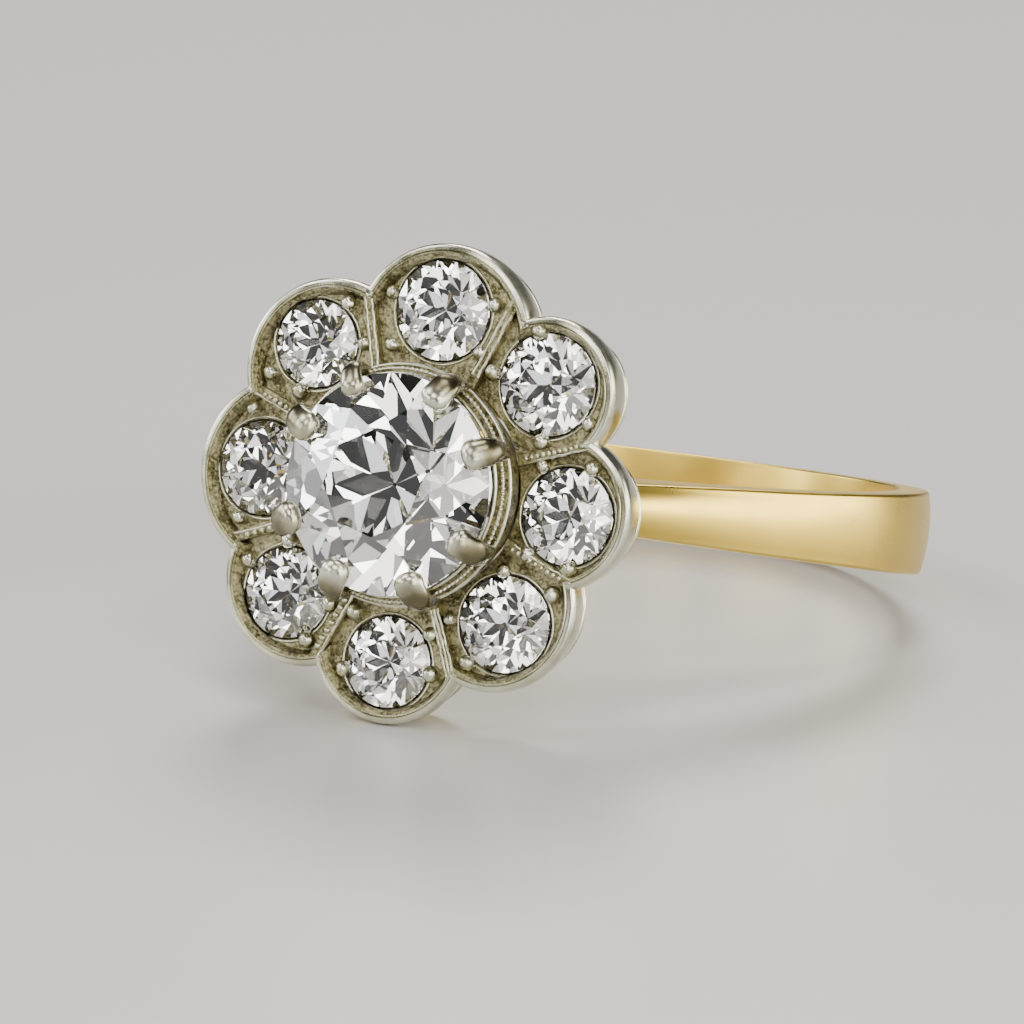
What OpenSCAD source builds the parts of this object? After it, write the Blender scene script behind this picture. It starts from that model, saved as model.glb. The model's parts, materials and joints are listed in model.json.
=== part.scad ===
// Daisy cluster ring: a round centre stone in eight claws inside eight bead-set petal stones,
// on a lobed white-metal head soldered to a plain yellow-gold shank.
// The ring is drawn upright, with the head up along +Z and the finger along Y, and is then
// turned to lie on its side as it rests on a table, on a petal and the back of the shank.

/* [Shank] */
// Inside diameter of the finger hole
finger_d = 17; // [15:0.1:20]
// Thickness of the shank
shank_t = 1.0; // [0.8:0.05:1.4]
// Width of the shank at the back of the finger
shank_back_w = 2.4; // [2:0.05:3.2]
// Width of the shank under the head
shank_head_w = 1.45; // [1.2:0.05:2]
// Height up to which the shank keeps its full width, from the middle of the finger hole
taper_z = -4; // [-6:0.5:0]
// Rise of the low dome across the shank's outer face
shank_dome = 0.14; // [0.05:0.01:0.2]
// Angle from the head at which each shoulder leaves the hoop
shoulder_angle = 58; // [54:1:62]

/* [Head] */
// Height of the petals' rim above the middle of the finger hole
rim_z = 12.8; // [12.6:0.1:13.4]
// Thickness of the petals' wall
wall_t = 0.25; // [0.2:0.01:0.35]
// Depth of the head, from the rim to the base of its wall
head_h = 1.9; // [1.7:0.05:2.1]
// How far the wall leans in from its rim to its base
wall_lean = 0.48; // [0.44:0.02:0.6]
// Width of the ridges between the petals
ridge_w = 0.28; // [0.2:0.01:0.4]

/* [Stones] */
// Diameter of the centre stone
centre_d = 6.1; // [5.9:0.05:6.2]
// Height of the centre stone's girdle above the petals' rim
centre_lift = 1.55; // [1.3:0.05:1.7]
// Radius of the beads that hold the petal stones
bead_r = 0.24; // [0.22:0.01:0.26]
// Radius of the centre stone's claws at their tips
claw_r = 0.33; // [0.28:0.01:0.36]

/* [Hidden] */
$fn = 96;

petals = 8;
step = 360 / petals;
gap = 0.03;          // clearance between pieces that are set or soldered together
over = 0.1;          // how far a cutting shape runs past what it cuts
far = 30;            // longer than any piece

gold = "goldenrod";
white_metal = "silver";
diamond = "aliceblue";

// Shank
finger_r = finger_d / 2;
hoop_r = finger_r + shank_t;
edge_round = 0.12;   // corner radius of the shank's outer edges
taper_steps = 6;     // straight stretches in each side's taper

// Head
base_z = rim_z - head_h;
rim_round = 0.2;     // depth of the bevel outside the rim
rim_bevel = 0.15;    // width of that bevel
lip_h = 0.14;        // height of the lip round the wall's base
lip_w = 0.06;        // how far that lip stands out
floor_z = rim_z - 0.38;
pocket_lean = 0.2;   // slope of a petal's inside, from its rim to its floor
lobe_fn = 32;        // sides that stand for each round form of the lobed head
bore_fn = 48;
seat_fn = 20;
bead_fn = 8;
light_r = 0.45;      // light hole under each petal stone, where it meets the seat
light_low_r = 0.95;  // the same hole where it opens at the back
// The petals of this handmade head differ. From the one towards +X and on round towards +Y:
// [arc's middle from the head's axis, its turn from its even place, arc's outer radius,
// stone's middle from the head's axis, its turn, its diameter]
petal_rows = [
    [4.29, -2.4, 2.24, 4.65, -3.8, 2.65],
    [4.63, -4.9, 2.12, 4.78, -2.9, 2.8],
    [4.07, -4.5, 2.69, 4.87, -1.8, 2.75],
    [4.04, 0.8, 2.61, 4.98, 0, 2.4],
    [3.75, 1.9, 2.79, 4.68, 0.9, 2.6],
    [4.22, 0, 2.41, 4.9, -1, 2.5],
    [4.3, -2.5, 2.37, 4.93, -3, 2.5],
    [4.03, -1.5, 2.47, 4.64, -3, 2.65]
];
ridge_turns = [1, -1.5, 2, 0.3, -1, -3, -4, -0.5];       // of the ridge after each petal
claw_turns = [0.4, -5.2, 2.2, -5.6, 2.8, 0.3, 2.4, -4.9];  // of the claw after each petal
low_petal = petal_rows[6];
head_reach = low_petal[0] * cos(low_petal[1]) + low_petal[2] * cos(180 / lobe_fn);

// Tip of the ring at rest, when a petal's rim and the back edge of the shank both touch the table
rest_tip = atan((head_reach - shank_back_w / 2) / (rim_z - rim_round + hoop_r));

// Collet under the centre stone: a cone flared up to a thick rim just below the girdle
girdle_z = rim_z + centre_lift;
collet_low = [1.95, 9.2];
collet_edge = [3.52, girdle_z - 0.6];
collet_rim = [3.22, girdle_z - 0.15];
collet_inner_r = 3.09;
collet_t = 0.3;
flare = (collet_edge[0] - collet_low[0]) / (collet_edge[1] - collet_low[1]);
claw_foot = [3.05, rim_z + 0.4];
claw_bend = [centre_d / 2 + 0.25, girdle_z + 0.1];
claw_tip = [centre_d / 2 - 0.23, girdle_z + 0.53];
stem_r = 0.3;

// Old-cut brilliant, as shares of the stone's radius
table_share = 0.5;
crown_share = 0.33;
girdle_share = 0.05;
star_share = 0.45;   // star facets reach this far from the table's edge to the girdle
pavilion_slope = 41;
lower_share = 0.6;   // lower girdle facets reach this far from the girdle to the culet
culet_share = 0.07;
half = step / 2;
girdle_top = girdle_share / 2;
crown_slope = crown_share / (1 - table_share);
star_r = table_share * cos(half) + star_share * (1 - table_share * cos(half));
star_z = girdle_top + (1 - star_r * cos(half)) * crown_slope;
lower_r = 1 - lower_share;
lower_z = -girdle_top - (1 - lower_r * cos(half)) * tan(pavilion_slope);
culet_r = culet_share / cos(half);
culet_z = -girdle_top - (1 - culet_share) * tan(pavilion_slope);

petal_z = floor_z + 0.04;
petal_turns = [7, 31, 15, 2, 38, 22, 11, 27];  // how far each petal stone is turned in its seat
bead_angles = [70, 128];  // how far round the stone from its outermost point, to each side

// Corners of a ring of n facet points, and the brilliant of radius 1 that they make
function ring_points(n, turn, r, z) =
    [for (k = [0 : n - 1]) [r * cos(turn + k * 360 / n), r * sin(turn + k * 360 / n), z]];

brilliant_points = concat(
    ring_points(8, 0, table_share, girdle_top + crown_share),
    ring_points(8, half, star_r, star_z),
    ring_points(16, 0, 1, girdle_top),
    ring_points(16, 0, 1, -girdle_top),
    ring_points(8, half, lower_r, lower_z),
    ring_points(8, half, culet_r, culet_z)
);
star = 8;            // where each ring starts in the list of points
upper = 16;
lower = 32;
pavilion = 48;
culet = 56;
brilliant_faces = concat(
    [[for (k = [7 : -1 : 0]) k]],
    [for (k = [0 : 7]) [k, (k + 1) % 8, star + k]],
    [for (k = [0 : 7]) [k, star + k, upper + 2 * k, star + (k + 7) % 8]],
    [for (k = [0 : 7]) [star + k, upper + 2 * k + 1, upper + 2 * k]],
    [for (k = [0 : 7]) [star + k, upper + (2 * k + 2) % 16, upper + 2 * k + 1]],
    [for (k = [0 : 15]) [upper + k, upper + (k + 1) % 16, lower + (k + 1) % 16, lower + k]],
    [for (k = [0 : 7]) [pavilion + k, lower + 2 * k, lower + 2 * k + 1]],
    [for (k = [0 : 7]) [pavilion + k, lower + 2 * k + 1, lower + (2 * k + 2) % 16]],
    [for (k = [0 : 7]) [lower + 2 * k, pavilion + k, culet + k, culet + (k + 7) % 8, pavilion + (k + 7) % 8]],
    [[for (k = [0 : 7]) culet + k]]
);

// Turns an upright ring onto its side, as it rests
module at_rest() rotate([90 - rest_tip, 0, 0]) children();

// Places what is drawn round Z at the middle of petal k's arc
module at_petal(k) {
    row = petal_rows[k];
    rotate([0, 0, k * step + row[1]]) translate([row[0], 0, 0]) children();
}

// Places what is drawn round Z at the middle of petal k's stone, with +X outwards
module at_stone(k) {
    row = petal_rows[k];
    rotate([0, 0, k * step + row[4]]) translate([row[3], 0, 0]) children();
}

// Old-cut brilliant of radius r, with its table up and its girdle at z = 0
module brilliant(r) {
    polyhedron(points = r * brilliant_points, faces = brilliant_faces);
}

// Round space that a stone of radius r needs in the metal, with clearance all round
module stone_room(r, sides = 96) {
    rotate_extrude($fn = sides)
        polygon([
            [0, r * culet_z - gap],
            [r * culet_r + gap, r * culet_z - gap],
            [r * lower_r + gap, r * lower_z - gap],
            [r + gap, -r * girdle_top - gap],
            [r + gap, r * girdle_top + gap],
            [r * star_r + gap, r * star_z + gap],
            [r * table_share + gap, r * (girdle_top + crown_share) + gap],
            [0, r * (girdle_top + crown_share) + gap]
        ]);
}

// Rod with round ends between two points given as [distance from the head's axis, height]
module rod(a, b, r) {
    run = b - a;
    for (end = [a, b]) translate([end[0], 0, end[1]]) sphere(r = r);
    translate([a[0], 0, a[1]])
        rotate([0, atan2(run[0], run[1]), 0])
            cylinder(r = r, h = norm(run));
}

// Section of the shank: flat inside, low dome outside with rounded edges, as wide as the back
module shank_section() {
    half_w = shank_back_w / 2;
    dome_r = (half_w * half_w + shank_dome * shank_dome) / (2 * shank_dome);
    intersection() {
        translate([finger_r, -half_w]) square([shank_t, shank_back_w]);
        translate([hoop_r - dome_r, 0]) circle(r = dome_r, $fn = 360);
        union() {
            translate([finger_r - over, -half_w + edge_round])
                square([shank_t + 2 * over, shank_back_w - 2 * edge_round]);
            translate([finger_r - over, -half_w])
                square([shank_t + over - shank_dome - edge_round, shank_back_w]);
            for (side = [-1, 1])
                translate([hoop_r - shank_dome - edge_round, side * (half_w - edge_round)])
                    circle(r = edge_round);
        }
    }
}

// Half the shank's width at height z
function shank_half_w(z) =
    (shank_back_w - (shank_back_w - shank_head_w) * pow(max(0, z - taper_z) / (hoop_r - taper_z), 1.5)) / 2;

// Block whose two sides close in towards the head, which gives the shank its taper
module taper_block() {
    low_z = -hoop_r - 2;
    high_z = hoop_r + 2;
    heights = concat([low_z], [for (n = [0 : taper_steps]) taper_z + (high_z - taper_z) * n / taper_steps]);
    translate([-far / 2, 0, 0])
        rotate([90, 0, 90])
            linear_extrude(height = far)
                polygon(concat(
                    [for (z = heights) [shank_half_w(z), z]],
                    [for (n = [taper_steps + 1 : -1 : 0]) [-shank_half_w(heights[n]), heights[n]]]
                ));
}

// One shoulder, seen along the finger: it leaves the hoop along a tangent and carries the head
module shoulder_outline() {
    top_z = base_z - gap;
    start = [hoop_r * sin(shoulder_angle), hoop_r * cos(shoulder_angle)];
    run = (top_z - start[1]) / sin(shoulder_angle);
    inner_r = (finger_r + hoop_r) / 2;
    foot_angle = 19;
    polygon([
        start,
        [start[0] - run * cos(shoulder_angle), top_z],
        [3.3, top_z],
        [3.0, hoop_r],
        [inner_r * sin(foot_angle), inner_r * cos(foot_angle)],
        [inner_r * sin(shoulder_angle), inner_r * cos(shoulder_angle)]
    ]);
}

module shank() {
    color(gold) at_rest() difference() {
        intersection() {
            union() {
                rotate([90, 0, 0]) rotate_extrude($fn = 180) shank_section();
                for (side = [0, 1]) mirror([side, 0, 0])
                    rotate([90, 0, 0])
                        translate([0, 0, -shank_back_w / 2])
                            linear_extrude(height = shank_back_w) shoulder_outline();
            }
            taper_block();
        }
        rotate([90, 0, 0])
            translate([0, 0, -far / 2])
                cylinder(r = finger_r, h = far, $fn = 180);
    }
}

// Petal k's lobe of the head: its wall leans in towards the base, its rim is bevelled,
// and a thin lip runs round the base
module lobe(k) {
    r = petal_rows[k][2];
    low_r = r - wall_lean;
    translate([0, 0, base_z]) rotate([0, 0, 180 / lobe_fn - petal_rows[k][1]]) {
        hull() {
            cylinder(r1 = low_r, r2 = r, h = head_h - rim_round, $fn = lobe_fn);
            cylinder(r = low_r, h = head_h, $fn = lobe_fn);
            translate([0, 0, head_h - over]) cylinder(r = r - rim_bevel, h = over, $fn = lobe_fn);
        }
        cylinder(r = low_r + lip_w, h = lip_h, $fn = lobe_fn);
    }
}

// Hollow of petal k round its stone, sloping from the rim down to the floor between two ridges
module petal_pocket(k) {
    depth = rim_z - floor_z;
    top_r = petal_rows[k][2] - wall_t;
    slope = pocket_lean / depth;
    start = (k - 0.5) * step + ridge_turns[(k + petals - 1) % petals];
    end = (k + 0.5) * step + ridge_turns[k];
    opening = (end - start) / 2;
    tip = ridge_w / 2 / sin(opening);
    spread = (far - tip) * tan(opening);
    intersection() {
        at_petal(k)
            translate([0, 0, floor_z])
                cylinder(r1 = top_r - pocket_lean, r2 = top_r + slope * over, h = depth + over, $fn = lobe_fn);
        rotate([0, 0, (start + end) / 2])
            translate([0, 0, floor_z - over])
                linear_extrude(height = depth + 2 * over)
                    polygon([[tip, 0], [far, -spread], [far, spread]]);
    }
}

// Four beads raised from the floor round petal k's stone
module petal_beads(k) {
    out = petal_rows[k][5] / 2 + 0.75 * bead_r;
    for (angle = bead_angles, side = [-1, 1])
        rotate([0, 0, side * angle])
            translate([out, 0, floor_z + bead_r - 0.05])
                sphere(r = bead_r, $fn = bead_fn);
}

// Cone-shaped hole that lets light in behind petal k's stone
module light_hole(k) {
    h = petal_z - base_z - petal_rows[k][5] / 2 * (1 - lower_share);
    translate([0, 0, base_z - over])
        cylinder(r1 = light_low_r, r2 = light_r, h = h, $fn = seat_fn);
}

module petal_setting() {
    low_z = base_z - over;
    high_z = rim_z + over;
    bore_low = collet_low[0] + (low_z - collet_low[1]) * flare + gap;
    bore_high = collet_low[0] + (high_z - collet_low[1]) * flare + gap;
    color(white_metal) at_rest() difference() {
        union() {
            difference() {
                for (k = [0 : petals - 1]) at_petal(k) lobe(k);
                for (k = [0 : petals - 1]) petal_pocket(k);
            }
            for (k = [0 : petals - 1]) at_stone(k) petal_beads(k);
        }
        translate([0, 0, low_z])
            rotate([0, 0, 180 / bore_fn])
                cylinder(r1 = bore_low, r2 = bore_high, h = high_z - low_z, $fn = bore_fn);
        for (k = [0 : petals - 1])
            at_stone(k) {
                translate([0, 0, petal_z]) stone_room(petal_rows[k][5] / 2, seat_fn);
                light_hole(k);
            }
    }
}

// Flared cone that carries the claws, with a foot shaped to the hoop
module collet_cone() {
    difference() {
        rotate_extrude()
            polygon([
                collet_low,
                collet_edge,
                collet_rim,
                [collet_inner_r, collet_rim[1]],
                [collet_inner_r, collet_rim[1] - 0.15],
                [collet_edge[0] - collet_t, collet_edge[1]],
                [collet_low[0] - collet_t, collet_low[1]]
            ]);
        rotate([90, 0, 0])
            translate([0, 0, -far / 2])
                cylinder(r = hoop_r + gap, h = far, $fn = 180);
    }
}

module claw() {
    rod(claw_foot, claw_bend, stem_r);
    rod(claw_bend, claw_tip, claw_r);
}

module claw_collet() {
    color(white_metal) at_rest() difference() {
        union() {
            collet_cone();
            for (k = [0 : petals - 1]) rotate([0, 0, (k + 0.5) * step + claw_turns[k]]) claw();
        }
        translate([0, 0, girdle_z]) stone_room(centre_d / 2);
    }
}

module centre_stone() {
    color(diamond) at_rest()
        translate([0, 0, girdle_z]) rotate([0, 0, half]) brilliant(centre_d / 2);
}

module petal_stone(k) {
    color(diamond) at_rest()
        at_stone(k)
            translate([0, 0, petal_z])
                rotate([0, 0, petal_turns[k]]) brilliant(petal_rows[k][5] / 2);
}

shank();
petal_setting();
claw_collet();
centre_stone();
for (k = [0 : petals - 1])
    petal_stone(k);
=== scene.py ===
import json
import math
import random
from collections import namedtuple
import bmesh
import bpy
from mathutils import Matrix, Vector, geometry, noise


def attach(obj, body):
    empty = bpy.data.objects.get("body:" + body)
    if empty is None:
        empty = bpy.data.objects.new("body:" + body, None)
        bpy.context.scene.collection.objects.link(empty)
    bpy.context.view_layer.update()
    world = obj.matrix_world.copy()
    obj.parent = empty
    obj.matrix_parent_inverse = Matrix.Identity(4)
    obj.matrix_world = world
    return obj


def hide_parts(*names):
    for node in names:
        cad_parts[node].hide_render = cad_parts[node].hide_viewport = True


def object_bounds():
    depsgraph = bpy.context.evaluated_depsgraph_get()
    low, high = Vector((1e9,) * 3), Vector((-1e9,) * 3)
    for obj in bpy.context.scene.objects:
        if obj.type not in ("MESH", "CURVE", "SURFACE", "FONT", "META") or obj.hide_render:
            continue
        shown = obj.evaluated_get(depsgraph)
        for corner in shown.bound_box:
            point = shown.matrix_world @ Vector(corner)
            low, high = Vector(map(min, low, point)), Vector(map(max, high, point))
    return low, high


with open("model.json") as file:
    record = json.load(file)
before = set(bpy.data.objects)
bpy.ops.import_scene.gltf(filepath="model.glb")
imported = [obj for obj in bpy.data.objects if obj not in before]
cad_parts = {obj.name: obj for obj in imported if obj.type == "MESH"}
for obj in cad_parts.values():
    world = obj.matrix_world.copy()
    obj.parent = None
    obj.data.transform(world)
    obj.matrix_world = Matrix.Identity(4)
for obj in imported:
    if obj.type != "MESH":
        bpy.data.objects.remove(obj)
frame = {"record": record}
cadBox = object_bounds()
print("frame loaded")

# The ring is modelled upright in millimetres, head up and finger along Y, then laid down in metres
perMetre = 1000
hole = next(m for m in frame["record"]["mounts"] if m["name"] == "finger_hole")
fingerRadius = hole["dims"]["r_mm"]
lean = math.atan2(hole["axis"][1], hole["axis"][2])
layDown = Matrix.Rotation(math.pi / 2 - lean, 4, "X") @ Matrix.Scale(1 / perMetre, 4)
weld = 1e-5  # points closer than this are one
polished, stainAndShade = 0, 1  # material slots of a metal piece
seed = 8
chance = random.Random(seed)
noise.seed_set(seed)  # otherwise it differs from run to run


# Mesh helpers

def newObject(bm, name, *materials):
    mesh = bpy.data.meshes.new(name)
    bm.to_mesh(mesh)
    bm.free()
    for material in materials:
        mesh.materials.append(material)
    made = bpy.data.objects.new(name, mesh)
    bpy.context.scene.collection.objects.link(made)
    return made


def onlyOf(kind, elements):
    return [e for e in elements if isinstance(e, kind)]


def paintAll(bm, slot):
    for face in bm.faces:
        face.material_index = slot


def arc(x, z, radius, start, end, steps):
    turns = [math.radians(start + (end - start) * k / steps) for k in range(steps + 1)]
    return [(x + radius * math.cos(t), z + radius * math.sin(t)) for t in turns]


def turned(outline, steps, closed=False, material=polished):
    # Spins an outline of (radius, height) points round Z
    bm = bmesh.new()
    points = [bm.verts.new((x, 0, z)) for x, z in outline]
    ends = points[1:] + points[:1] if closed else points[1:]
    lines = [bm.edges.new(pair) for pair in zip(points, ends)]
    bmesh.ops.spin(bm, geom=points + lines, cent=(0, 0, 0), axis=(0, 0, 1), angle=2 * math.pi,
                   steps=steps, use_merge=True)
    bmesh.ops.remove_doubles(bm, verts=bm.verts, dist=weld)
    bmesh.ops.recalc_face_normals(bm, faces=bm.faces)
    paintAll(bm, material)
    return bm


def drum(radius, low, high, steps):
    return turned([(0, low), (radius, low), (radius, high), (0, high)], steps)


def lofted(places, sides):
    # A tube through unit circles that the matrices place, closed at both ends
    bm = bmesh.new()
    ring = bmesh.ops.create_circle(bm, segments=sides, radius=1)["verts"]
    bmesh.ops.transform(bm, matrix=places[0], verts=ring)
    edges = bm.edges[:]
    for before, after in zip(places, places[1:]):
        grown = bmesh.ops.extrude_edge_only(bm, edges=edges)["geom"]
        edges = [e for e in onlyOf(bmesh.types.BMEdge, grown) if e.is_boundary]
        bmesh.ops.transform(bm, matrix=after @ before.inverted(), verts=onlyOf(bmesh.types.BMVert, grown))
    bmesh.ops.holes_fill(bm, edges=bm.edges, sides=0)
    bmesh.ops.recalc_face_normals(bm, faces=bm.faces)
    return bm


def bead(radius, place, detail=2, tall=1.0):
    bm = bmesh.new()
    bmesh.ops.create_icosphere(bm, subdivisions=detail, radius=radius)
    bmesh.ops.scale(bm, vec=(1, 1, tall), verts=bm.verts)
    bmesh.ops.translate(bm, vec=place, verts=bm.verts)
    return bm


def moved(bm, matrix):
    bmesh.ops.transform(bm, matrix=matrix, verts=bm.verts)
    return bm


def uneven(bm, amount, scale):
    # Pushes the points about by a smooth noise, as handwork does
    for v in bm.verts:
        v.co += noise.noise_vector(v.co * scale) * amount
    return bm


def joined(parts):
    whole = bmesh.new()
    for bm in parts:
        mesh = bpy.data.meshes.new("part")
        bm.to_mesh(mesh)
        bm.free()
        whole.from_mesh(mesh)
        bpy.data.meshes.remove(mesh)
    return whole


def carve(base, tool, how="DIFFERENCE"):
    # A Boolean applied at once; cut faces keep the tool's material
    step = base.modifiers.new("carve", "BOOLEAN")
    step.operation = how
    step.solver = "MANIFOLD"
    step.object = tool
    seen = base.evaluated_get(bpy.context.evaluated_depsgraph_get())
    result = bpy.data.meshes.new_from_object(seen)
    base.modifiers.clear()
    base.data = result
    bpy.data.objects.remove(tool)


def layOnSide(obj, sharp):
    # Edges that turn by more than sharp degrees are shaded hard
    obj.data.transform(layDown)
    obj.data.shade_smooth()
    obj.data.set_sharp_from_angle(angle=math.radians(sharp))


def addPiece(obj, slot, *nodes):
    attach(obj, "root")
    if nodes:
        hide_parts(*nodes)


# Shader maths written as Python sums

class Wire:
    def __init__(self, shader, socket):
        self.shader = shader
        self.socket = socket

    def math(self, how, first, second):
        return self.shader.node("ShaderNodeMath", dict(operation=how), {0: first, 1: second})

    def __add__(self, other):
        return self.math("ADD", self, other)

    def __radd__(self, other):
        return self.math("ADD", other, self)

    def __mul__(self, other):
        return self.math("MULTIPLY", self, other)

    def __rmul__(self, other):
        return self.math("MULTIPLY", other, self)


class Shader:
    def __init__(self, name):
        self.material = bpy.data.materials.new(name)
        self.material.use_nodes = True
        self.tree = self.material.node_tree
        self.surface = self.tree.nodes["Principled BSDF"]
        place = self.node("ShaderNodeTexCoord", out="Object")
        self.place = self.node("ShaderNodeVectorMath", dict(operation="SCALE"),
                               {"Vector": place, "Scale": perMetre})

    def node(self, kind, settings=None, sockets=None, out=0):
        made = self.tree.nodes.new(kind)
        for key, value in (settings or {}).items():
            setattr(made, key, value)
        for key, value in (sockets or {}).items():
            self.feed(made.inputs[key], value)
        return Wire(self, made.outputs[out])

    def feed(self, socket, value):
        if isinstance(value, Wire):
            self.tree.links.new(value.socket, socket)
        else:
            socket.default_value = value

    def noise(self, scale, detail, rough=0.5, stretch=None):
        place = self.place
        if stretch:
            place = self.node("ShaderNodeMapping", None, {"Vector": place, "Scale": stretch})
        return self.node("ShaderNodeTexNoise", None,
                         {"Vector": place, "Scale": scale, "Detail": detail, "Roughness": rough})

    def distance(self, point):
        return self.node("ShaderNodeVectorMath", dict(operation="DISTANCE"),
                         {0: self.place, 1: point}, out="Value")

    def ease(self, value, low, high, start=0.0, end=1.0):
        # Runs from start to end as value goes from low to high
        return self.node("ShaderNodeMapRange", dict(interpolation_type="SMOOTHSTEP"),
                         {"Value": value, "From Min": low, "From Max": high,
                          "To Min": start, "To Max": end})

    def mix(self, share, a, b):
        # Of a Mix node's sockets, 6, 7 and the output 2 are those for colour
        return self.node("ShaderNodeMix", dict(data_type="RGBA"), {0: share, 6: a, 7: b}, out=2)

    def bump(self, height, strength, depth):
        return self.node("ShaderNodeBump", None,
                         {"Height": height, "Strength": strength, "Distance": depth})

    def finish(self, **values):
        for key, value in values.items():
            self.feed(self.surface.inputs[key.replace("_", " ")], value)
        return self.material


# Finishes. A noise is given by its scale per mm, detail, roughness and stretch, a bump by its
# strength and its depth in metres

whiteMetal = dict(bright=(0.72, 0.71, 0.57, 1), warm=(0.50, 0.485, 0.34, 1), rough=(0.18, 0.32))
# The claws' finish: its dark colour is partly dirt at the roots and partly painted shade on the claws'
# outer slopes
wornMetal = dict(bright=(0.68, 0.665, 0.52, 1), warm=(0.46, 0.435, 0.30, 1), rough=(0.21, 0.31),
                 dirt=(0.15, 0.134, 0.078, 1), dirtFrom=(3.2, 3.65), dirtZ=14.0, dirtNoise=(1.6, 3),
                 dirtSpread=0.4)
plating = dict(patches=(0.6, 4), patchFrom=(0.35, 0.65), wear=(1.7, 4), wearFrom=(0.3, 0.75),
               hairlines=(9, 3, 0.6, (1, 1, 5)), scratch=(0.12, 0.00001))
tarnish = dict(deep=(0.07, 0.06, 0.024, 1), light=(0.50, 0.46, 0.27, 1), rough=(0.24, 0.42),
               grain=(11, 4, 0.65), stains=(2.4, 3, 0.6), grainShare=0.6, dirtFrom=(0.38, 0.66),
               stainFrom=(0.3, 0.7), pits=(0.6, 0.00005))
gold = dict(bright=(0.74, 0.53, 0.10, 1), deep=(0.67, 0.475, 0.085, 1), rough=(0.27, 0.33),
            clouds=(0.3, 3), cloudFrom=(0.3, 0.7), wear=(0.8, 4), wearFrom=(0.3, 0.7),
            hairlines=(7, 3, 0.6, (1, 1, 6)), scratch=(0.12, 0.00001))
diamond = dict(colour=(1, 1, 1, 1), index=2.417)


def platedMetal(name, look):
    s = Shader(name)
    patches = s.ease(s.noise(*plating["patches"]), *plating["patchFrom"])
    shade = s.mix(patches, look["bright"], look["warm"])
    if "dirt" in look:
        # Darker away from the stone's middle, partly dirt at the claws' roots and partly painted shade on
        # their outer slopes, so the tips of the claws stay the brightest
        middle = layDown @ Vector((0, 0, look["dirtZ"])) * perMetre
        away = s.distance(middle) + s.noise(*look["dirtNoise"]) * look["dirtSpread"]
        shade = s.mix(s.ease(away, *look["dirtFrom"]), shade, look["dirt"])
    wear = s.noise(*plating["wear"])
    return s.finish(Base_Color=shade, Metallic=1.0,
                    Roughness=s.ease(wear, *plating["wearFrom"], *look["rough"]),
                    Normal=s.bump(s.noise(*plating["hairlines"]), *plating["scratch"]))


def tarnishedWhiteMetal():
    s = Shader("tarnishedWhiteMetal")
    grain = s.noise(*tarnish["grain"])
    stains = s.noise(*tarnish["stains"])
    share = tarnish["grainShare"]
    dirt = s.ease(grain * share + stains * (1 - share), *tarnish["dirtFrom"])
    return s.finish(Base_Color=s.mix(dirt, tarnish["deep"], tarnish["light"]), Metallic=1.0,
                    Roughness=s.ease(stains, *tarnish["stainFrom"], *tarnish["rough"]),
                    Normal=s.bump(grain, *tarnish["pits"]))


def yellowGold():
    s = Shader("yellowGold")
    clouds = s.ease(s.noise(*gold["clouds"]), *gold["cloudFrom"])
    wear = s.noise(*gold["wear"])
    return s.finish(Base_Color=s.mix(clouds, gold["bright"], gold["deep"]), Metallic=1.0,
                    Roughness=s.ease(wear, *gold["wearFrom"], *gold["rough"]),
                    Normal=s.bump(s.noise(*gold["hairlines"]), *gold["scratch"]))


def clearStone():
    s = Shader("clearStone")
    return s.finish(Base_Color=diamond["colour"], Roughness=0.0, IOR=diamond["index"],
                    Transmission_Weight=1.0)


shine = platedMetal("polishedWhiteMetal", whiteMetal)
worn = platedMetal("wornWhiteMetal", wornMetal)
stainAndShadeFinish = tarnishedWhiteMetal()
goldFinish = yellowGold()
stoneFinish = clearStone()
print("finishes made")


# Shank: a D-shaped section spun round the finger, then narrowed and raised into shoulders

shank = dict(thick=1.0, backWidth=2.4, headWidth=1.45, taperZ=-4.0, taperPower=1.5,
             dome=0.14, domeSteps=12, corner=0.13, cornerSteps=7, innerCorner=0.06, innerSteps=5,
             shoulder=58.0, shoulderTop=10.87, footX=3.3, covered=2.0, coveredDepth=0.2,
             steps=360, sharp=40)
shankOuter = fingerRadius + shank["thick"]


def shankSection():
    half = shank["backWidth"] / 2
    domeRadius = (half ** 2 + shank["dome"] ** 2) / (2 * shank["dome"])
    domeMiddle = shankOuter - domeRadius
    flat = half - shank["corner"]
    edge = domeMiddle + math.sqrt(domeRadius ** 2 - flat ** 2)
    spread = math.degrees(math.asin(flat / domeRadius))
    dome = arc(domeMiddle, 0, domeRadius, -spread, spread, shank["domeSteps"])
    side = arc(edge - shank["corner"], flat, shank["corner"], 0, 90, shank["cornerSteps"])[1:]
    small = shank["innerCorner"]
    inner = arc(fingerRadius + small, half - small, small, 90, 180, shank["innerSteps"])
    down = [(r, -w) for r, w in reversed(side + inner)]
    return down + dome + side + inner


def outerReach(turn):
    # From the finger's middle to the shank's outside, turn being the angle from the head
    foot = math.atan2(shank["footX"], shank["shoulderTop"])
    start = math.radians(shank["shoulder"])
    if turn > start or turn < foot:
        return shankOuter
    return min(shankOuter / math.cos(start - turn), shank["shoulderTop"] / math.cos(turn))


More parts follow.
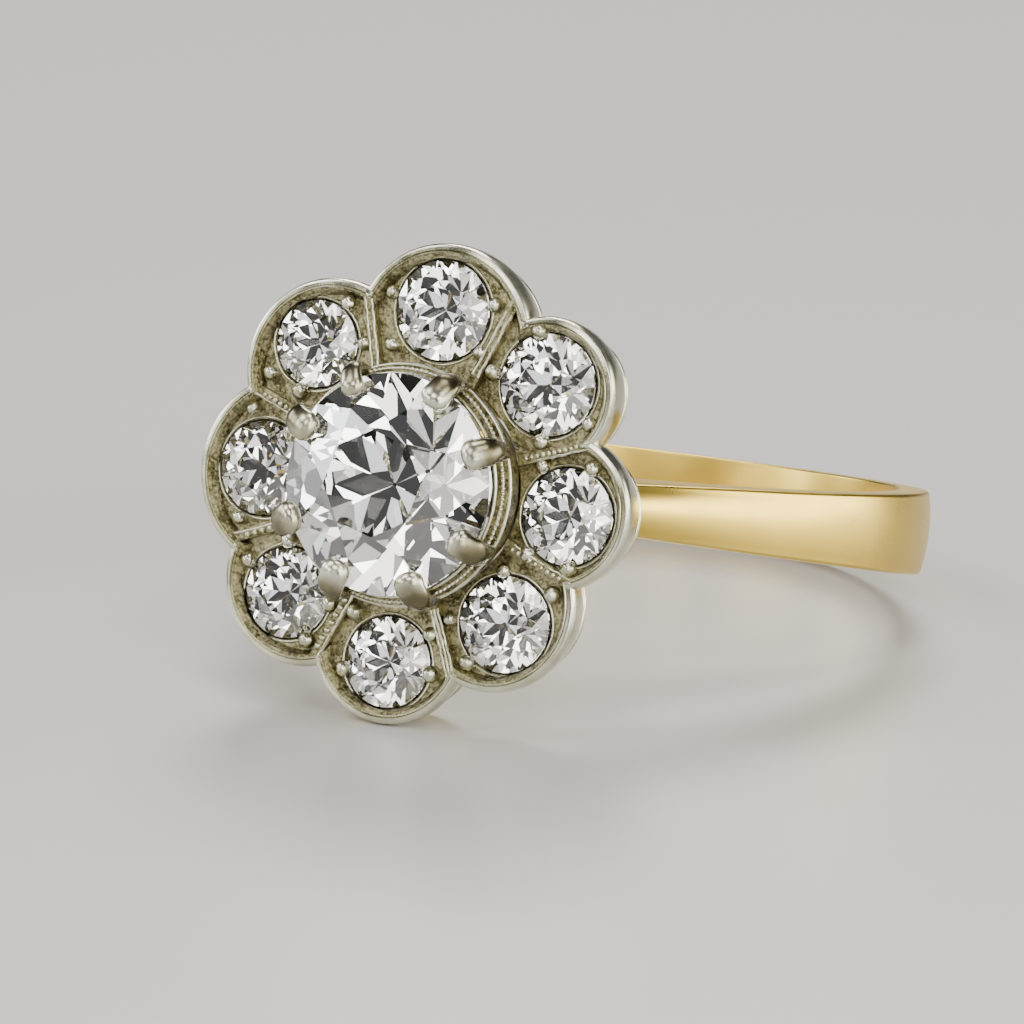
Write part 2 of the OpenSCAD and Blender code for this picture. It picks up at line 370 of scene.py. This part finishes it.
def makeShank():
    hoop = turned(shankSection(), shank["steps"], closed=True)
    bm = moved(hoop, Matrix.Rotation(math.pi / 2, 4, "X"))
    for v in bm.verts:
        reach = math.hypot(v.co.x, v.co.z)
        rise = outerReach(abs(math.atan2(v.co.x, v.co.z))) - fingerRadius
        grown = (fingerRadius + (reach - fingerRadius) * rise / shank["thick"]) / reach
        v.co.x *= grown
        v.co.z *= grown
        height = max(0, v.co.z - shank["taperZ"]) / (shankOuter - shank["taperZ"])
        taper = height ** shank["taperPower"]
        v.co.y *= 1 - taper * (1 - shank["headWidth"] / shank["backWidth"])
    for face in bm.faces:
        spot = face.calc_center_median()
        # Painted shade: tarnish on the shank where the collet covers it, so that what shows through the
        # gap round the centre stone is dark
        if (spot.z > shankOuter - shank["coveredDepth"]
                and math.hypot(spot.x, spot.y) < shank["covered"]):
            face.material_index = stainAndShade
    obj = newObject(bm, "goldShank", goldFinish, stainAndShadeFinish)
    layOnSide(obj, shank["sharp"])
    addPiece(obj, "yellow_gold", "shank")


makeShank()
print("shank made")


# Head: eight lobes with polished walls, hollowed round the stones. Each petal of this handmade
# head differs; they run from the one towards +X on round, in mm and degrees

Petal = namedtuple("Petal", "out turn radius lean swell stoneOut stoneTurn stoneRadius spin")
petals = (
    Petal(4.29, -2.4, 2.22, 0.45, 0.09, 4.60, -3.8, 1.325, 7),
    Petal(4.63, -4.9, 2.10, 0.40, 0.09, 4.78, -2.9, 1.400, 31),
    Petal(4.07, -4.5, 2.67, 0.36, 0.09, 4.87, -1.8, 1.375, 15),
    Petal(4.04, 0.8, 2.59, 0.45, 0.09, 4.98, 0, 1.200, 2),
    Petal(3.75, 1.9, 2.77, 0.45, 0.09, 4.68, 0.9, 1.300, 38),
    Petal(4.22, 0, 2.39, 0.45, 0.09, 4.90, -1, 1.250, 22),
    Petal(4.30, -2.5, 2.33, 0.48, 0.02, 4.93, -3, 1.250, 11),
    Petal(4.03, -1.5, 2.45, 0.48, 0.07, 4.64, -3, 1.325, 27),
)
petalCount = len(petals)
petalStep = 2 * math.pi / petalCount

head = dict(rim=12.8, depth=1.9, ridgeDrop=0.12, ridgeWidth=0.3, floorDrop=0.38, stoneLift=0.04,
            steps=128, holeSteps=96, sharp=32, near=0.01, upward=0.9,
            past=1)  # how far a cutter runs out of the metal
headBase = head["rim"] - head["depth"]
petalFloor = head["rim"] - head["floorDrop"]
ridgeTop = head["rim"] - head["ridgeDrop"]
stoneZ = petalFloor + head["stoneLift"]

# Each point of the crest and of the pocket's slope is in from the wall's outside and below the rim
wall = dict(lip=0.06, lipEnd=80, lipSteps=6, bulgeFrom=0.15, bulgeSteps=9, shoulder=0.3,
            roundIn=0.08, roundRise=0.27, roundTurn=12,
            crest=((0.13, 0.022), (0.175, 0.012), (0.2, 0.07), (0.22, 0.012), (0.232, 0)),
            knifeInner=0.255, knifeFoot=0.02)
pocket = dict(floorIn=0.47, slope=((0.43, 0.26), (0.38, 0.2), (0.267, 0.03)), lift=0.01, above=0.3)
seat = dict(gap=0.06, footR=0.4, footDrop=0.583, footGap=0.07, neck=0.1, neckDrop=0.04, edgeDrop=0.1,
            above=0.8, below=0.1, lightHole=0.9)
bore = dict(coneR=1.98, coneZ=9.2, flare=0.345, past=0.2)


def petalPlace(k, out, turn):
    return Matrix.Rotation(k * petalStep + math.radians(turn), 4, "Z") @ Matrix.Translation((out, 0, 0))


def arcPlace(k):
    return petalPlace(k, petals[k].out, petals[k].turn)


def stonePlace(k):
    return petalPlace(k, petals[k].stoneOut, petals[k].stoneTurn)


def lobeOutline(petal):
    r, rim = petal.radius, head["rim"]
    low, start, shoulder = r - petal.lean, headBase + wall["bulgeFrom"], rim - wall["shoulder"]
    lip = arc(low, headBase + wall["lip"], wall["lip"], -90, wall["lipEnd"], wall["lipSteps"])
    bulge = []
    for n in range(wall["bulgeSteps"] + 1):
        t = n / wall["bulgeSteps"]
        x = low + (r - low) * t + petal.swell * math.sin(math.pi * t)
        bulge.append((min(x, r), start + (shoulder - start) * t))
    turns = [math.radians(a) for a in range(wall["roundTurn"], 90, wall["roundTurn"])]
    over = [(r - wall["roundIn"] * (1 - math.cos(t)), shoulder + wall["roundRise"] * math.sin(t))
            for t in turns]
    crest = [(r - inward, rim - drop) for inward, drop in wall["crest"]]
    knife = r - wall["knifeInner"]
    return ([(0, headBase)] + lip + bulge + over + crest
            + [(knife, rim), (knife - wall["knifeFoot"], ridgeTop), (0, ridgeTop)])


def pocketOutline(petal):
    r, rim = petal.radius, head["rim"]
    slope = [(r - inward, rim - drop) for inward, drop in pocket["slope"]]
    knife, top = r - wall["knifeInner"], rim + pocket["above"]
    return ([(0, petalFloor), (r - pocket["floorIn"], petalFloor)] + slope
            + [(knife, rim + pocket["lift"]), (knife, top), (0, top)])


def seatOutline(petal):
    # Follows the pavilion of the stone from a short way below, down to the hole that lets light in
    r = petal.stoneRadius
    foot = (seat["footR"] * r, stoneZ - seat["footDrop"] * r - seat["footGap"])
    wide, low, high = r + seat["gap"], headBase - seat["below"], stoneZ + seat["above"]
    return [(0, low), (seat["lightHole"], low), (foot[0] - seat["neck"], foot[1] - seat["neckDrop"]),
            foot, (wide, stoneZ - seat["edgeDrop"]), (wide, high), (0, high)]


# Ridge after each petal: its turn, where it starts and ends, the pitch and place of its beads,
# the places of its smooth rails, and how far it slants from pointing straight at the head's axis

Ridge = namedtuple("Ridge", "turn start end pitch beads rails slant")
ridges = (
    Ridge(-3.3, 3.45, 5.65, 0.17, 0.0, (-0.12,), 0),
    Ridge(-1.5, 3.50, 5.50, 0, 0, (-0.09, 0.09), 0),
    Ridge(1.6, 3.45, 5.40, 0, 0, (-0.09, 0.09), -10),
    Ridge(0.3, 3.55, 5.50, 0.18, 0, (0.11,), 0),
    Ridge(-1.0, 3.55, 5.60, 0.24, 0.05, (-0.06,), 0),
    Ridge(-3.0, 3.50, 5.50, 0.25, -0.05, (0.09,), 0),
    Ridge(-4.0, 3.45, 5.35, 0, 0, (-0.1, 0, 0.1), 4),
    Ridge(-0.5, 3.45, 5.35, 0.2, -0.03, (0.09,), 0),
)
wedgeLine, wedgeFar = 9, 12  # along a wedge's sides, to look for where they meet and to its corners


def ridgePlace(k):
    # From a ridge's own frame, X along it, to the head's; a slanting ridge turns about its middle
    ridge = ridges[k % petalCount]
    middle = Matrix.Translation(((ridge.start + ridge.end) / 2, 0, 0))
    turn = (k + 0.5) * petalStep + math.radians(ridge.turn)
    slant = Matrix.Rotation(math.radians(ridge.slant), 4, "Z")
    return Matrix.Rotation(turn, 4, "Z") @ middle @ slant @ middle.inverted()


def wedge(k, width, low, high):
    # The room between petal k's two ridges, a prism with its edge near the head's axis
    starts = [ridgePlace(n) @ Vector((0, side * width / 2, 0)) for n, side in ((k - 1, 1), (k, -1))]
    ways = [ridgePlace(n).to_3x3() @ Vector((1, 0, 0)) for n in (k - 1, k)]
    ends = [end.xy for start, way in zip(starts, ways)
            for end in (start - way * wedgeLine, start + way * wedgeLine)]
    near = geometry.intersect_line_line_2d(*ends)
    far = [start.xy + way.xy * wedgeFar for start, way in zip(starts, ways)]
    bm = bmesh.new()
    corners = [bm.verts.new((point.x, point.y, low)) for point in (near, *far)]
    grown = bmesh.ops.extrude_face_region(bm, geom=[bm.faces.new(corners)])["geom"]
    bmesh.ops.translate(bm, vec=(0, 0, high - low), verts=onlyOf(bmesh.types.BMVert, grown))
    bmesh.ops.recalc_face_normals(bm, faces=bm.faces)
    paintAll(bm, stainAndShade)
    return bm


def headObject(bm, name):
    # The tools that cut the head carry its two finishes, in the same slots
    return newObject(bm, name, shine, stainAndShadeFinish)


def petalPocket(k):
    # The recess of a petal runs on into its neighbours' rings as far as the ridges
    rounds = []
    for n in (k, (k - 1) % petalCount, (k + 1) % petalCount):
        hollow = turned(pocketOutline(petals[n]), head["holeSteps"], material=stainAndShade)
        rounds.append(headObject(moved(hollow, arcPlace(n)), "pocket"))
    for other in rounds[1:]:
        carve(rounds[0], other, "UNION")
    side = wedge(k, head["ridgeWidth"], petalFloor - head["past"], head["rim"] + head["past"])
    carve(rounds[0], headObject(side, "side"), "INTERSECT")
    return rounds[0]


def ringClearance(k):
    radius = petals[k].radius - wall["knifeInner"]
    inside = drum(radius, ridgeTop, head["rim"] + head["past"], head["steps"])
    return headObject(moved(inside, arcPlace(k)), "clearance")


def stoneSeat(k):
    hollow = turned(seatOutline(petals[k]), head["holeSteps"], material=stainAndShade)
    return headObject(moved(hollow, stonePlace(k)), "seat")


def colletBore():
    low, high = headBase - bore["past"], head["rim"] + bore["past"]
    reach = [bore["coneR"] + (z - bore["coneZ"]) * bore["flare"] for z in (low, high)]
    outline = [(0, low), (reach[0], low), (reach[1], high), (0, high)]
    return headObject(turned(outline, head["steps"], material=stainAndShade), "bore")


def carvedHead():
    lobes = [headObject(moved(turned(lobeOutline(petals[k]), head["steps"]), arcPlace(k)), "petalHead")
             for k in range(petalCount)]
    body = lobes[0]
    for lobe in lobes[1:]:
        carve(body, lobe, "UNION")
    for tool in (ringClearance, petalPocket, stoneSeat):
        for k in range(petalCount):
            carve(body, tool(k))
    carve(body, colletBore())
    for face in body.data.polygons:
        # The tops of the ridges are tarnished under their beads and rails
        if abs(face.center.z - ridgeTop) < head["near"] and face.normal.z > head["upward"]:
            face.material_index = stainAndShade
    print("head carved,", len(body.data.polygons), "faces")
    return body


# What is laid on the head: beads and rails on the ridges, an edge round each stone and its grains.
# A grain is placed by degrees round its stone from the outermost point, and distance from its edge

trim = dict(bead=0.078, beadSizes=(0.8, 1.15), beadGrowth=0.8, beadPitch=0.14, beadShift=0.01,
            beadLift=0.02, rail=0.036, railSizes=(0.7, 1.3), railSteps=14, railSides=10,
            railShift=0.018, railHeights=(-0.015, 0.02), edge=0.035, edgeOut=0.11, edgeLift=0.01,
            edgeSides=8, steps=96, handwork=(0.025, 1.3), sharp=60)
grains = dict(radius=0.24, sizes=(0.88, 1.1), rise=0.14, detail=3, tall=1.15, handwork=0.06,
              noise=1.6, noiseStep=0.1)
grainSpots = (
    ((70, 0.22), (-76, 0.10), (128, 0.22), (-128, 0.20)),
    ((63, 0.08), (-75, 0.28), (133, 0.24), (-130, 0.16)),
    ((80, 0.20), (-76, 0.24), (131, 0.36), (-126, 0.28)),
    ((83, 0.36), (-80, 0.30), (124, 0.18), (-128, 0.30)),
    ((-74, 0.38), (69, 0.26), (-124, 0.06), (122, 0.06)),
    ((-75, 0.21), (80, 0.20), (131, 0.12), (-130, 0.20)),
    ((87, 0.12), (-72, 0.06), (-135, 0.44), (130, 0.30)),
    ((85, 0.34), (-80, 0.18), (145, 0.15), (-130, 0.28)),
)


def ridgeBeads(ridge):
    made = []
    grown = 1 + trim["beadGrowth"] * (ridge.pitch - trim["beadPitch"])
    for n in range(int((ridge.end - ridge.start) / ridge.pitch)):
        size = trim["bead"] * chance.uniform(*trim["beadSizes"]) * grown
        aside = ridge.beads + chance.uniform(-trim["beadShift"], trim["beadShift"])
        made.append(bead(size, (ridge.start + n * ridge.pitch, aside, ridgeTop + trim["beadLift"])))
    return made


def ridgeRail(ridge, aside):
    spots = []
    for n in range(trim["railSteps"] + 1):
        along = ridge.start + (ridge.end - ridge.start) * n / trim["railSteps"]
        across = aside + chance.uniform(-trim["railShift"], trim["railShift"])
        spots.append(Vector((along, across, ridgeTop + chance.uniform(*trim["railHeights"]))))
    upright = Matrix.Rotation(math.pi / 2, 4, "Y")
    return lofted([Matrix.Translation(spot) @ upright
                   @ Matrix.Scale(trim["rail"] * chance.uniform(*trim["railSizes"]), 4)
                   for spot in spots], trim["railSides"])


def ridgeTrim(k):
    ridge = ridges[k]
    made = ridgeBeads(ridge) if ridge.pitch else []
    made += [ridgeRail(ridge, aside) for aside in ridge.rails]
    return [moved(bm, ridgePlace(k)) for bm in made]


def seatEdge(k):
    # The thin bright edge that is pushed up round a stone
    radius = petals[k].stoneRadius + trim["edgeOut"]
    rim = arc(radius, petalFloor + trim["edgeLift"], trim["edge"], 0, 360, trim["edgeSides"])[:-1]
    return moved(turned(rim, trim["steps"], closed=True), stonePlace(k))


def stoneGrains(k):
    made = []
    for turn, out in grainSpots[k]:
        reach = petals[k].stoneRadius + out
        size = grains["radius"] * chance.uniform(*grains["sizes"])
        grain = uneven(bead(size, (0, 0, 0), grains["detail"], grains["tall"]), grains["handwork"],
                       grains["noise"] + k * grains["noiseStep"])
        aim = (Matrix.Rotation(math.radians(turn), 4, "Z")
               @ Matrix.Translation((reach, 0, petalFloor + grains["rise"])))
        made.append(moved(grain, stonePlace(k) @ aim))
    return made


def makeHead():
    body = carvedHead()
    small = []
    for k in range(petalCount):
        small += ridgeTrim(k) + [seatEdge(k)] + stoneGrains(k)
    laidOn = newObject(uneven(joined(small), *trim["handwork"]), "headTrim", shine)
    layOnSide(body, head["sharp"])
    layOnSide(laidOn, trim["sharp"])
    addPiece(body, "white_metal", "petal_setting")
    addPiece(laidOn, "white_metal")


makeHead()
print("head made")


# Collet of the centre stone: a flared cone with three rings round its rim, the middle one
# milgrained, and eight claws folded over the stone's edge

collet = dict(lowR=1.95, lowZ=9.2, bendR=3.25, bendZ=13.05, edgeR=3.29, edgeZ=13.55, wall=0.3,
              innerR=2.94, innerZ=13.9, corner=0.05, slope=32, groove=0.09, ringTurn=75, ringSteps=8,
              rings=((3.31, 13.62, 0.055), (3.18, 13.84, 0.05), (3.05, 14.04, 0.06)),
              steps=160, sharp=50)
milgrain = dict(bead=0.058, sizes=(0.8, 1.15), pitch=0.14, lift=0.02, sharp=60)
claws = dict(sides=14, smooth=2, sharp=180)
clawRows = (  # out from the head's axis, height, half width, half thickness
    (3.10, 13.25, 0.25, 0.19),
    (3.26, 13.75, 0.28, 0.22),
    (3.36, 14.15, 0.32, 0.24),
    (3.36, 14.48, 0.38, 0.26),
    (3.27, 14.72, 0.42, 0.25),
    (3.11, 14.83, 0.41, 0.22),
    (2.96, 14.89, 0.44, 0.27),
    (2.80, 14.92, 0.45, 0.29),
    (2.66, 14.90, 0.37, 0.24),
    (2.57, 14.88, 0.20, 0.13),
)
# Each claw's turn in degrees, its size and how far its tip reaches in past the others
clawSpots = ((0.4, 1.0, 0), (-5.2, 1.0, 0), (2.2, 0.78, 0.05), (-5.6, 1.0, 0.16), (2.8, 1.06, 0.02),
             (0.3, 1.0, 0.2), (2.4, 1.02, 0.03), (-4.9, 1.0, 0))
colletSlope = math.radians(collet["slope"])


def colletOutline():
    rings = []
    for n, (x, z, radius) in enumerate(collet["rings"]):
        if n:
            before = collet["rings"][n - 1]
            middle = ((x + before[0]) / 2, (z + before[1]) / 2)
            rings.append((middle[0] - collet["groove"] * math.cos(colletSlope),
                          middle[1] - collet["groove"] * math.sin(colletSlope)))
        rings += arc(x, z, radius, collet["slope"] - collet["ringTurn"],
                     collet["slope"] + collet["ringTurn"], collet["ringSteps"])
    lowOut, lowIn, corner = collet["lowR"], collet["lowR"] - collet["wall"], collet["corner"]
    outside = [(lowOut - corner, collet["lowZ"]), (lowOut, collet["lowZ"] + corner),
               (collet["bendR"], collet["bendZ"]), (collet["edgeR"], collet["edgeZ"])]
    inside = [(collet["innerR"], collet["innerZ"]), (collet["edgeR"] - collet["wall"], collet["edgeZ"]),
              (lowIn, collet["lowZ"] + corner), (lowIn + corner, collet["lowZ"])]
    return outside + rings + inside


def colletCone():
    # Tarnish with painted shade everywhere but on the tops of the rings, darkening the cone's inside and
    # the gap round the stone
    bm = turned(colletOutline(), collet["steps"], closed=True, material=stainAndShade)
    x, z = collet["rings"][-1][:2]
    for face in bm.faces:
        spot = face.calc_center_median()
        out, up = math.hypot(spot.x, spot.y) - x, spot.z - z
        height = out * math.cos(colletSlope) + up * math.sin(colletSlope)
        if height > 0 and spot.z > collet["edgeZ"]:
            face.material_index = polished
    return bm


def colletBeads():
    x, z = collet["rings"][1][:2]
    count = int(2 * math.pi * x / milgrain["pitch"])
    place = (x + milgrain["lift"], 0, z + milgrain["lift"])
    made = []
    for n in range(count):
        size = milgrain["bead"] * chance.uniform(*milgrain["sizes"])
        made.append(moved(bead(size, place), Matrix.Rotation(2 * math.pi * n / count, 4, "Z")))
    return made


def claw(k):
    turn, size, reach = clawSpots[k]
    last = len(clawRows) - 1
    spots = [Vector((row[0] - reach * (n / last) ** 2, 0, row[1])) for n, row in enumerate(clawRows)]
    across = Vector((0, 1, 0))
    places = []
    for n, row in enumerate(clawRows):
        wide, thick = row[2:]
        ahead = (spots[min(n + 1, last)] - spots[max(n - 1, 0)]).normalized()
        axes = Matrix((across.cross(ahead) * thick * size, across * wide * size, ahead))
        places.append(Matrix.Translation(spots[n]) @ axes.transposed().to_4x4())
    place = Matrix.Rotation((k + 0.5) * petalStep + math.radians(turn), 4, "Z")
    return moved(lofted(places, claws["sides"]), place)


def makeCollet():
    cone = newObject(colletCone(), "collet", shine, stainAndShadeFinish)
    layOnSide(cone, collet["sharp"])
    addPiece(cone, "white_metal", "claw_collet")
    beads = newObject(joined(colletBeads()), "colletMilgrain", shine)
    layOnSide(beads, milgrain["sharp"])
    addPiece(beads, "white_metal")
    clawRing = newObject(joined([claw(k) for k in range(petalCount)]), "claws", worn)
    smooth = clawRing.modifiers.new("smooth", "SUBSURF")
    smooth.levels = claws["smooth"]
    smooth.render_levels = claws["smooth"]
    layOnSide(clawRing, claws["sharp"])
    addPiece(clawRing, "white_metal", "claw_collet")


makeCollet()
print("collet and claws made")


# Stones: an old cut, sliced facet by facet from a round blank of unit radius

cut = dict(table=0.48, crown=0.33, girdle=0.07, star=0.5, pavilion=42.2, lower=0.62, culet=0.02,
           mains=8, blank=(-1.5, 1), steps=96, snap=2e-5)
centre = dict(radius=3.05, z=14.35, turn=6)


def facet(bm, a, b, c):
    # Slices off what lies beyond the plane through three points and closes the cut
    normal = (b - a).cross(c - a).normalized()
    if normal.dot(a) < 0:
        normal.negate()
    everything = bm.verts[:] + bm.edges[:] + bm.faces[:]
    bmesh.ops.bisect_plane(bm, geom=everything, dist=cut["snap"], plane_co=a, plane_no=normal,
                           clear_outer=True)
    bmesh.ops.remove_doubles(bm, verts=bm.verts, dist=cut["snap"])
    bmesh.ops.holes_fill(bm, edges=[e for e in bm.edges if e.is_boundary], sides=0)


def at(radius, turn, z):
    return Vector((radius * math.cos(turn), radius * math.sin(turn), z))


def mainFacet(bm, turn, edgeZ, innerR, innerZ):
    # From the girdle in to the table or the culet, level across
    edge = at(1, turn, edgeZ)
    facet(bm, edge, at(innerR, turn, innerZ), edge + at(1, turn + math.pi / 2, 0))


def girdleFacet(bm, turn, side, edgeZ, innerR, innerZ):
    # One of the pair beside each main facet, with an edge along the girdle
    facet(bm, at(1, turn, edgeZ), at(1, side, edgeZ), at(innerR, side, innerZ))


def oldCut():
    # Girdle round z = 0, table up
    step = math.pi / cut["mains"]
    half = cut["girdle"] / 2
    tableR, tableZ = cut["table"], half + cut["crown"]
    crownSlope = cut["crown"] / (1 - tableR)
    starR = tableR * math.cos(step) + cut["star"] * (1 - tableR * math.cos(step))
    starZ = half + (1 - starR * math.cos(step)) * crownSlope
    pavilionSlope = math.tan(math.radians(cut["pavilion"]))
    lowerR = 1 - cut["lower"]
    lowerZ = -half - (1 - lowerR * math.cos(step)) * pavilionSlope
    culetZ = -half - (1 - cut["culet"]) * pavilionSlope
    bm = drum(1, *cut["blank"], cut["steps"])
    for k in range(cut["mains"]):
        turn = 2 * k * step
        mainFacet(bm, turn, half, tableR, tableZ)
        mainFacet(bm, turn, -half, cut["culet"], culetZ)
        facet(bm, at(tableR, turn, tableZ), at(tableR, turn + 2 * step, tableZ),
              at(starR, turn + step, starZ))
        for side in (turn - step, turn + step):
            girdleFacet(bm, turn, side, half, starR, starZ)
            girdleFacet(bm, turn, side, -half, lowerR, lowerZ)
    for z in (tableZ, culetZ):
        facet(bm, at(1, 0, z), at(1, 2, z), at(1, 4, z))
    bmesh.ops.recalc_face_normals(bm, faces=bm.faces)
    return bm


def addStone(name, node, middle, turn, radius):
    spin = Matrix.Rotation(math.radians(turn), 4, "Z")
    stone = newObject(moved(oldCut(), middle @ spin @ Matrix.Scale(radius, 4)), name, stoneFinish)
    stone.data.transform(layDown)
    addPiece(stone, "diamond", node)


addStone("centreStone", "centre_stone", Matrix.Translation((0, 0, centre["z"])), centre["turn"],
         centre["radius"])
for k, petal in enumerate(petals):
    addStone(f"petalStone{k + 1}", f"petal_stone_{k + 1}",
             stonePlace(k) @ Matrix.Translation((0, 0, stoneZ)), petal.spin, petal.stoneRadius)
print("stones cut")


# Studio: pale floor, soft lights and the camera

studio = dict(floor=0.9, floorColour=(0.50, 0.49, 0.47, 1), floorRough=0.35, world=(0.09, 0.09, 0.09, 1))
lights = (  # name, watts, width, height, colour, place, all aimed at the ring
    ("back", 1.3, 0.16, 0.16, (1, 0.98, 0.95), (-0.10, 0.27, 0.27)),
    ("top", 0.45, 0.13, 0.13, (1, 0.98, 0.95), (0.02, -0.06, 0.36)),
    ("topLeft", 0.5, 0.14, 0.14, (0.97, 0.98, 1), (-0.22, -0.16, 0.28)),
    ("topRight", 0.35, 0.11, 0.11, (1, 0.98, 0.94), (0.20, -0.20, 0.30)),
    ("frontLeft", 0.4, 0.12, 0.12, (0.96, 0.98, 1), (-0.36, -0.19, 0.13)),
    ("front", 0.4, 0.12, 0.12, (1, 0.99, 0.97), (-0.04, -0.35, 0.25)),
    ("frontRight", 0.35, 0.11, 0.11, (1, 0.98, 0.94), (0.18, -0.33, 0.18)),
    ("lowLeft", 0.22, 0.10, 0.10, (1, 0.98, 0.94), (-0.26, -0.33, 0.08)),
    ("low", 0.08, 0.17, 0.08, (0.97, 0.98, 1), (-0.062, -0.413, 0.046)),
    ("lowRight", 0.3, 0.12, 0.08, (1, 0.98, 0.94), (0.25, -0.42, 0.05)),
    ("left", 0.5, 0.14, 0.14, (0.94, 0.97, 1), (-0.38, 0.02, 0.11)),
    ("rightFront", 0.95, 0.34, 0.20, (1, 0.97, 0.92), (0.33, -0.19, 0.11)),
    ("right", 1.6, 0.40, 0.15, (1, 0.97, 0.92), (0.36, 0.13, 0.08)),
)
view = dict(azimuth=24.3, elevation=14.54, roll=1.03, distance=0.3, lens=369.35, aimRight=-0.0082,
            aimUp=-0.0019, clip=0.01)


def makeFloor():
    bm = bmesh.new()
    bmesh.ops.create_grid(bm, x_segments=1, y_segments=1, size=studio["floor"] / 2)
    bmesh.ops.translate(bm, vec=(0, 0, cadBox[0][2]), verts=bm.verts)
    paint = bpy.data.materials.new("paleFloor")
    paint.use_nodes = True
    sockets = paint.node_tree.nodes["Principled BSDF"].inputs
    sockets["Base Color"].default_value = studio["floorColour"]
    sockets["Roughness"].default_value = studio["floorRough"]
    newObject(bm, "floor", paint)


def makeLights():
    world = bpy.data.worlds.new("studio")
    world.use_nodes = True
    world.node_tree.nodes["Background"].inputs["Color"].default_value = studio["world"]
    bpy.context.scene.world = world
    for name, watts, width, height, colour, place in lights:
        lamp = bpy.data.lights.new(name, "AREA")
        lamp.energy = watts
        lamp.shape, lamp.size, lamp.size_y = "RECTANGLE", width, height
        lamp.color = colour
        holder = bpy.data.objects.new(name, lamp)
        holder.location = place
        holder.rotation_euler = (-Vector(place)).to_track_quat("-Z", "Y").to_euler()
        bpy.context.scene.collection.objects.link(holder)


def makeCamera():
    az, el, roll = (math.radians(view[key]) for key in ("azimuth", "elevation", "roll"))
    back = Vector((math.sin(az) * math.cos(el), -math.cos(az) * math.cos(el), math.sin(el)))
    right = Vector((math.cos(az), math.sin(az), 0))
    ahead = (-back + right * view["aimRight"] + right.cross(-back) * view["aimUp"]).normalized()
    level = ahead.cross(Vector((0, 0, 1))).normalized()
    upright = level.cross(ahead)
    across = math.cos(roll) * level + math.sin(roll) * upright
    top = math.cos(roll) * upright - math.sin(roll) * level
    camera = bpy.data.objects.new("camera", bpy.data.cameras.new("camera"))
    camera.data.lens = view["lens"]
    camera.data.clip_start = view["clip"]
    turn = Matrix((across, top, -ahead)).transposed().to_4x4()
    camera.matrix_world = Matrix.Translation(back * view["distance"]) @ turn
    bpy.context.scene.collection.objects.link(camera)
    bpy.context.scene.camera = camera


makeFloor()
makeLights()
makeCamera()
print("studio set")
